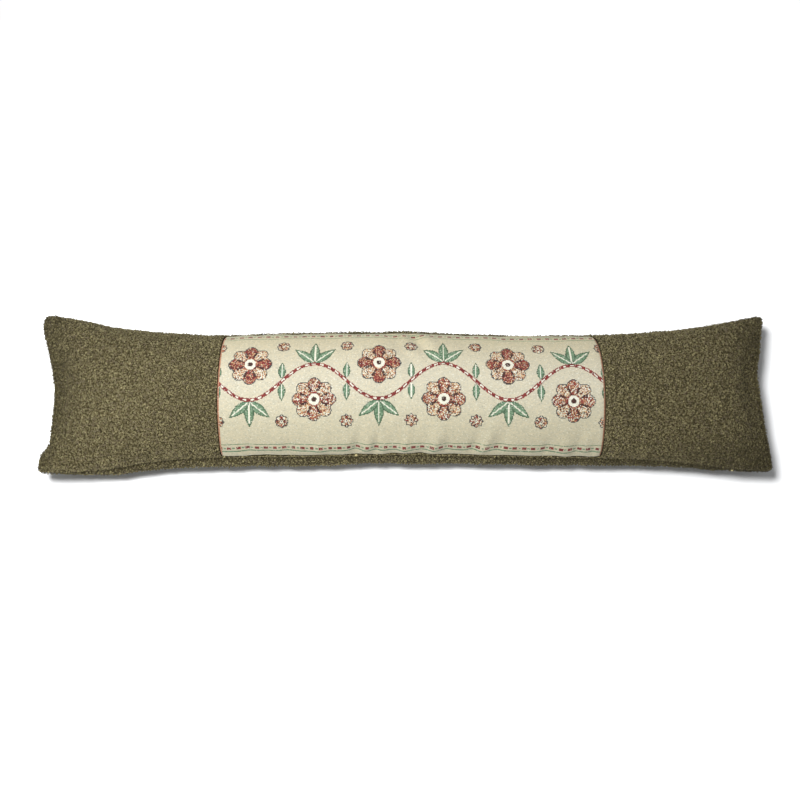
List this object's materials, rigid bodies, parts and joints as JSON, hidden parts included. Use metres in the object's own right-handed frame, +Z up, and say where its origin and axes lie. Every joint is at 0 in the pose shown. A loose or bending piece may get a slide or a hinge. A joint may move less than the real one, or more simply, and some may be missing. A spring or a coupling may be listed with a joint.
{
  "type": "long cushion",
  "caption": "Long low cushion, lying on its back: looped-yarn back and ends, and a flat-woven panel let into the face between the ends; the filling draws its sides in between the corners.",
  "frame": {"origin": "centre of the bounding box in X and Y, on the flat of the underside", "axes": "+X along the cushion towards its right end as seen from above with the panel upright, +Y across it towards its top edge, +Z up through its thickness"},
  "size_m": [0.8916, 0.196, 0.0862],
  "materials": {
    "boucle": "thick looped woollen yarn, matt",
    "tapestry": "fine flat weave, matt"
  },
  "bodies": {
    "root": {"cushion": "boucle", "end_left": "boucle", "end_right": "boucle", "tapestry_panel": "tapestry"}
  },
  "joints": []
}
